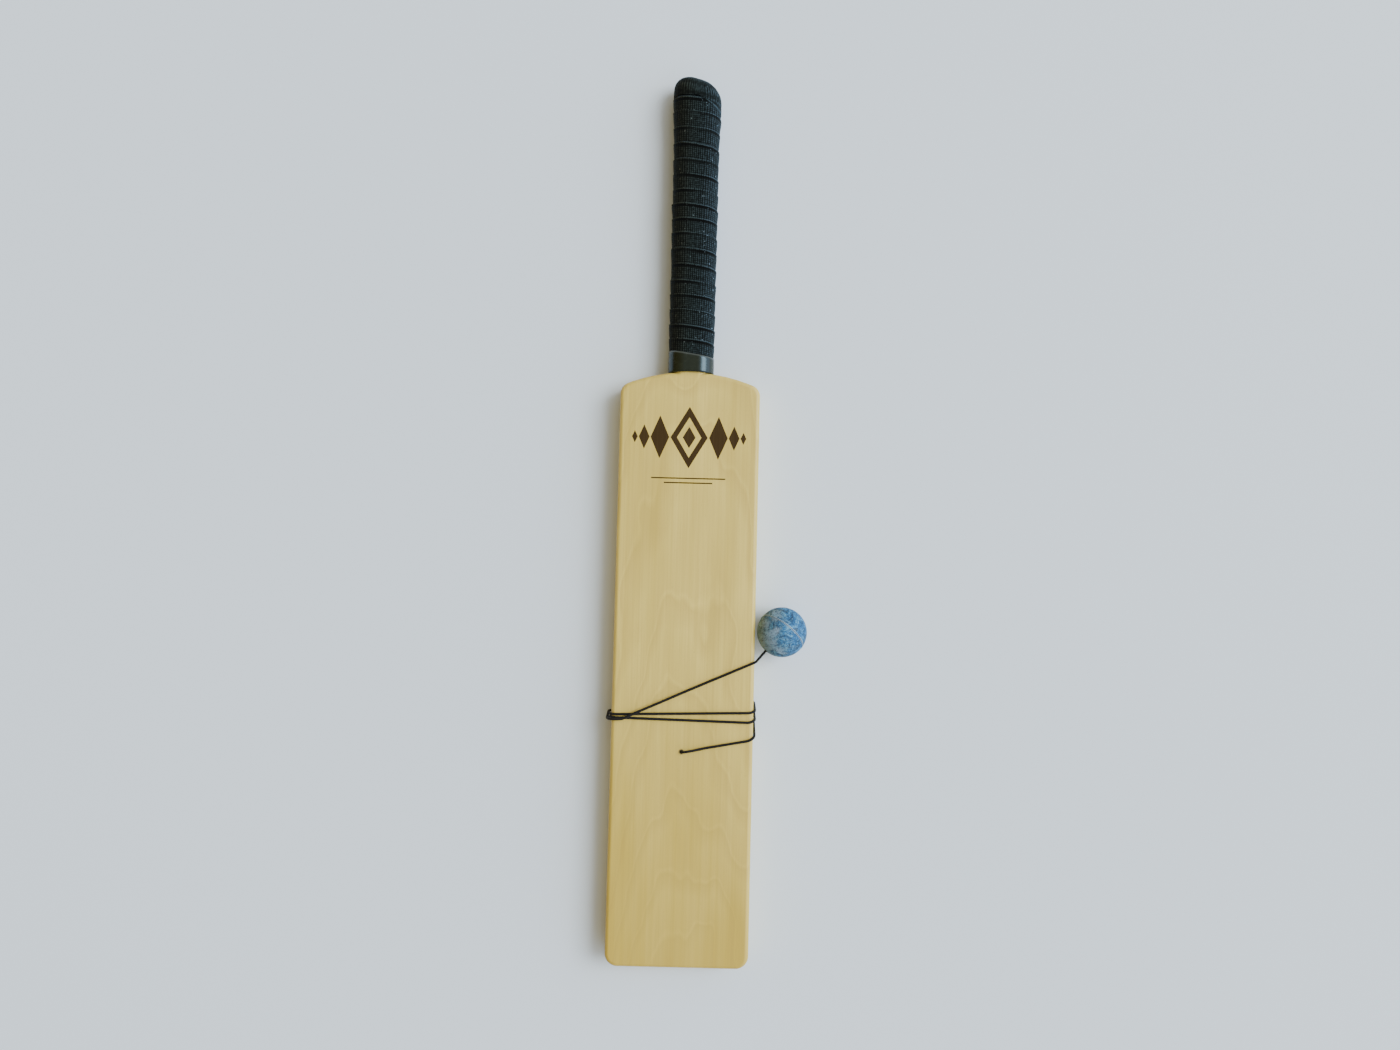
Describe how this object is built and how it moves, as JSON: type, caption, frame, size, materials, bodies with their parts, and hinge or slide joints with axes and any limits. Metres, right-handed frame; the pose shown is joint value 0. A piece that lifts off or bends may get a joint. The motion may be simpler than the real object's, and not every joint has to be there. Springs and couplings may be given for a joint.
{
  "type": "paddle ball game",
  "caption": "Flat wooden bat with a cloth-wrapped handle and a rubber ball on a thin elastic cord, stored wound round the blade.",
  "frame": {"origin": "centre of the toe's flat end face, in the middle of the board's thickness", "axes": "+Y up the bat from the toe to the handle's butt, +X to the right of someone who faces the striking face, +Z out of the striking face. The bat lies on its back."},
  "size_m": [0.1401, 0.6264, 0.035],
  "materials": {
    "wood": "satin, clear-coated light hardwood",
    "grip_cloth": "matte woven cotton tape",
    "gloss_tape": "glossy vinyl tape",
    "elastic": "matte covered elastic",
    "ball_rubber": "matte marbled rubber"
  },
  "bodies": {
    "bat": {"bat_board": "wood", "grip_wrap": "grip_cloth", "butt_patch": "grip_cloth", "collar_tape": "gloss_tape", "elastic_winding": "elastic", "stopper_knot": "elastic"},
    "lead": {"elastic_lead": "elastic"},
    "tether_end": {"ball_knot": "elastic"},
    "ball": {"ball_near_half": "ball_rubber", "ball_far_half": "ball_rubber"}
  },
  "joints": [
    {"name": "ball_swing", "type": "hinge", "parent": "bat", "child": "lead", "pos_m": [0.05159, 0.2174, 0.01078], "axis": [0, -1, 0], "range_deg": [0, 115]},
    {"name": "ball_pull", "type": "slide", "parent": "lead", "child": "tether_end", "axis": [0.6561, 0.7547, 0], "range_m": [0, 0.12], "stiffness_N_per_m": 20, "deforming": ["elastic_lead"]},
    {"name": "ball_spin", "type": "hinge", "parent": "tether_end", "child": "ball", "pos_m": [0.06863, 0.237, 0.0055], "axis": [-0.6429, -0.7396, 0.1994], "continuous": true}
  ]
}
